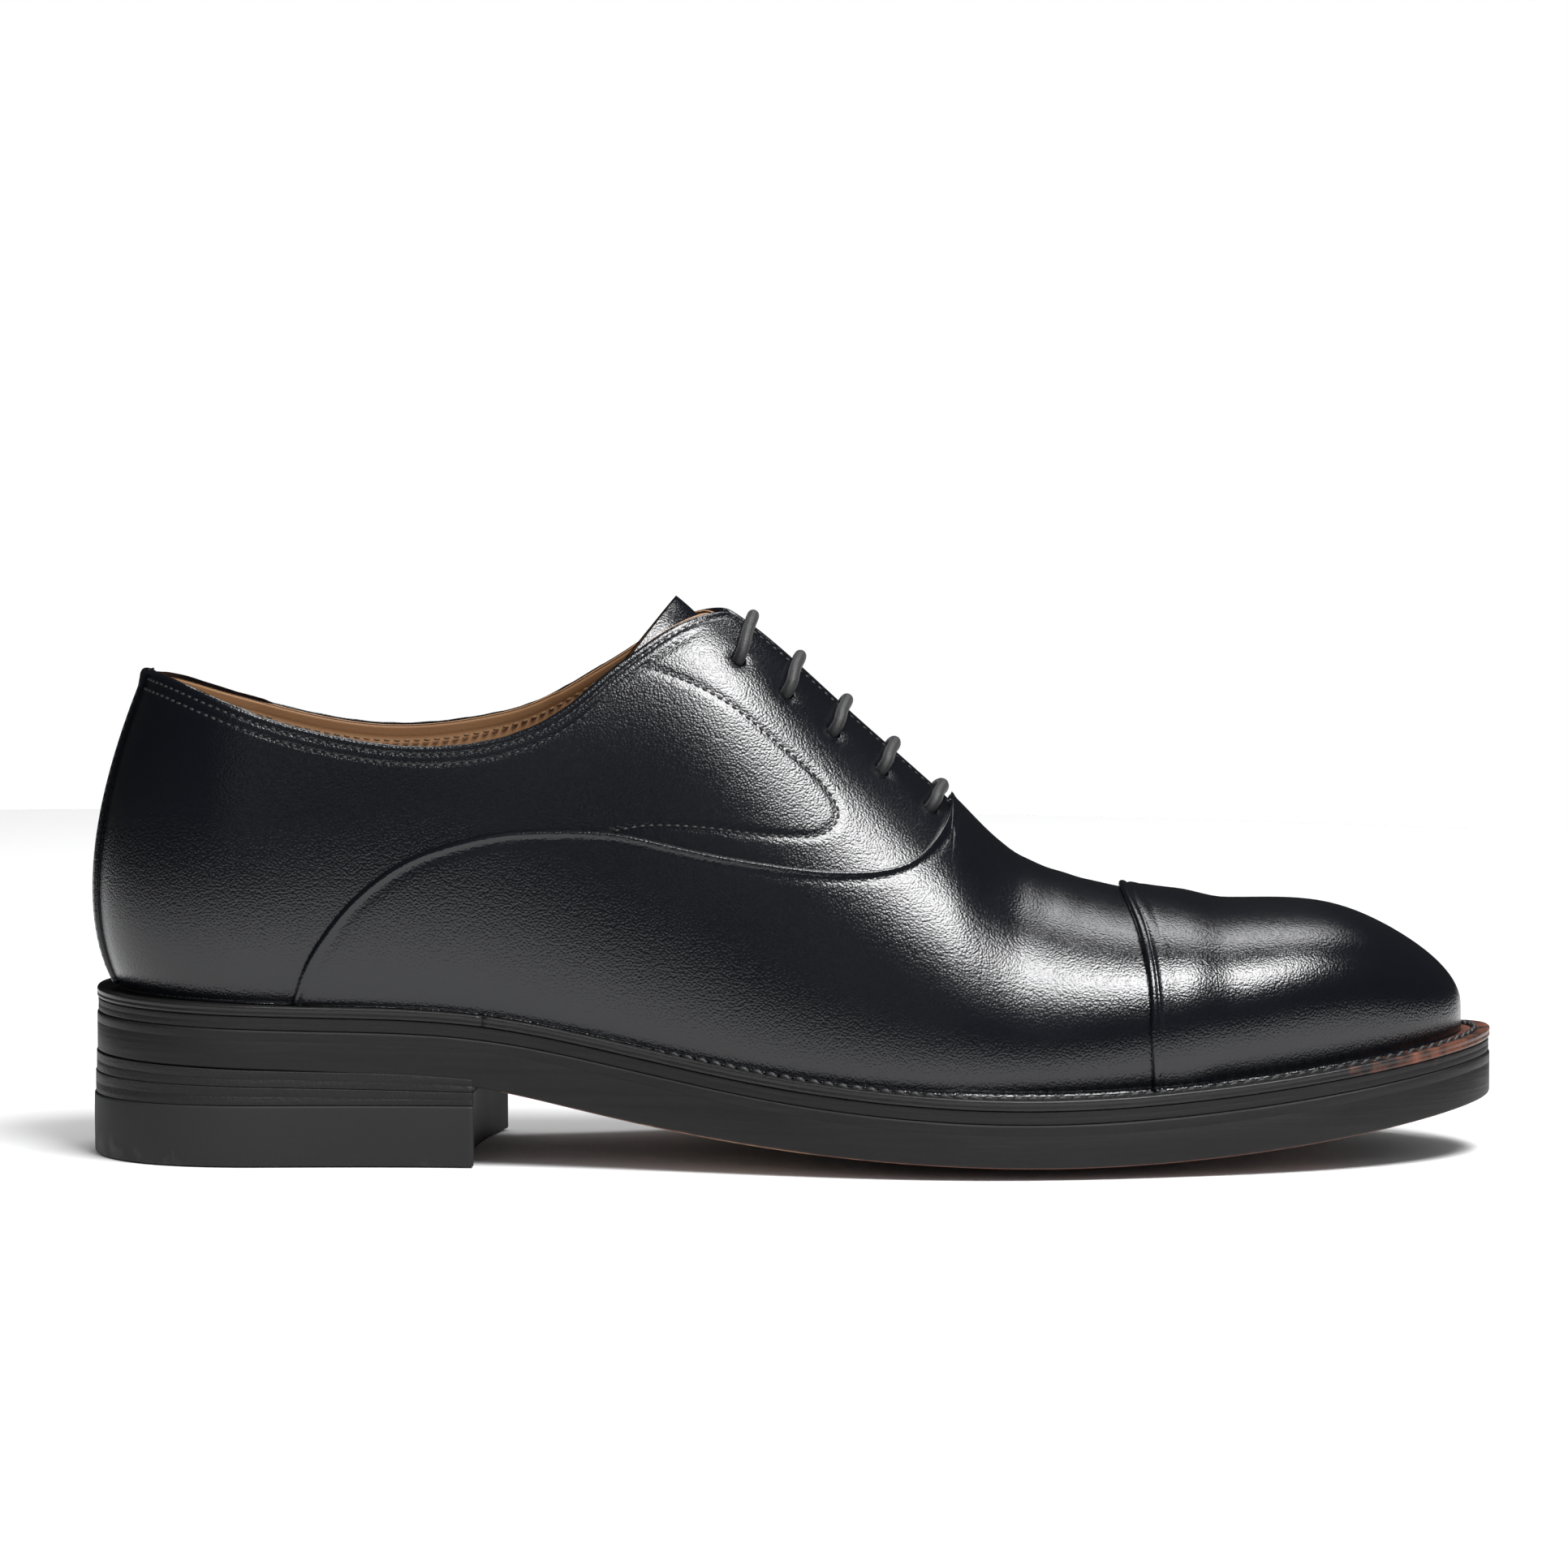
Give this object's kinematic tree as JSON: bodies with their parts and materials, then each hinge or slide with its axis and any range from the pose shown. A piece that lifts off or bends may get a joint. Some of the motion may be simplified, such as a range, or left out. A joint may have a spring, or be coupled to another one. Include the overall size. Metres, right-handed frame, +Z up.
{
  "type": "leather oxford shoe",
  "caption": "A black leather lace-up oxford with a toe cap, closed lacing, welted leather sole and stacked heel with a rubber top piece; right shoe.",
  "frame": {"origin": "on the ground under the middle of the shoe's bounding box", "axes": "+X runs forward to the toe, +Y to the medial (inner) side of this right shoe, +Z up from the ground"},
  "size_m": [0.3027, 0.1059, 0.1197],
  "materials": {
    "polished_leather": "polished black calf with a fine grain",
    "lining_leather": "tan glazed lining leather",
    "sole_leather": "black edge-dressed sole leather, red-brown underside",
    "welt_leather": "black welt leather",
    "insole_leather": "vegetable-tanned insole leather",
    "rubber": "matte black rubber",
    "lace_cord": "round waxed cotton cord",
    "eyelet_metal": "blackened steel rings",
    "nail_metal": "steel nails",
    "shank_metal": "spring steel",
    "cork": "cork composition",
    "stiffener": "leather board and stiffened canvas",
    "lace_tip": "black plastic",
    "canvas": "cotton drill"
  },
  "bodies": {
    "shoe": {"toe_cap": "polished_leather", "vamp": "polished_leather", "quarter_lateral": "polished_leather", "quarter_medial": "polished_leather", "backstay": "polished_leather", "reinforcement_lateral": "canvas", "reinforcement_medial": "canvas", "facing_stay_lateral": "canvas", "facing_stay_medial": "canvas", "heel_counter": "stiffener", "collar_pad_lateral": "canvas", "collar_pad_medial": "canvas", "toe_puff": "stiffener", "quarter_lining_lateral": "lining_leather", "quarter_lining_medial": "lining_leather", "vamp_lining": "canvas", "eyelets_lateral": "eyelet_metal", "eyelets_medial": "eyelet_metal", "lace": "lace_cord", "lace_tips": "lace_tip", "welt": "welt_leather", "heel_rand": "welt_leather", "midsole": "sole_leather", "outsole": "sole_leather", "toe_guard": "rubber", "waist_stud": "rubber", "heel_lift_1": "sole_leather", "heel_lift_2": "sole_leather", "heel_top_piece": "rubber", "heel_nails": "nail_metal", "insole": "insole_leather", "insole_rib": "canvas", "cork_filler": "cork", "shank": "shank_metal", "heel_sock": "lining_leather"},
    "tongue_flap": {"tongue": "polished_leather", "tongue_lining": "lining_leather"}
  },
  "joints": [
    {"name": "tongue_hinge", "type": "hinge", "parent": "shoe", "child": "tongue_flap", "pos_m": [0.0376, 0.0022, 0.0676], "axis": [0, 1, 0], "range_deg": [-14, 0], "stiffness_Nm_per_rad": 0.2}
  ]
}
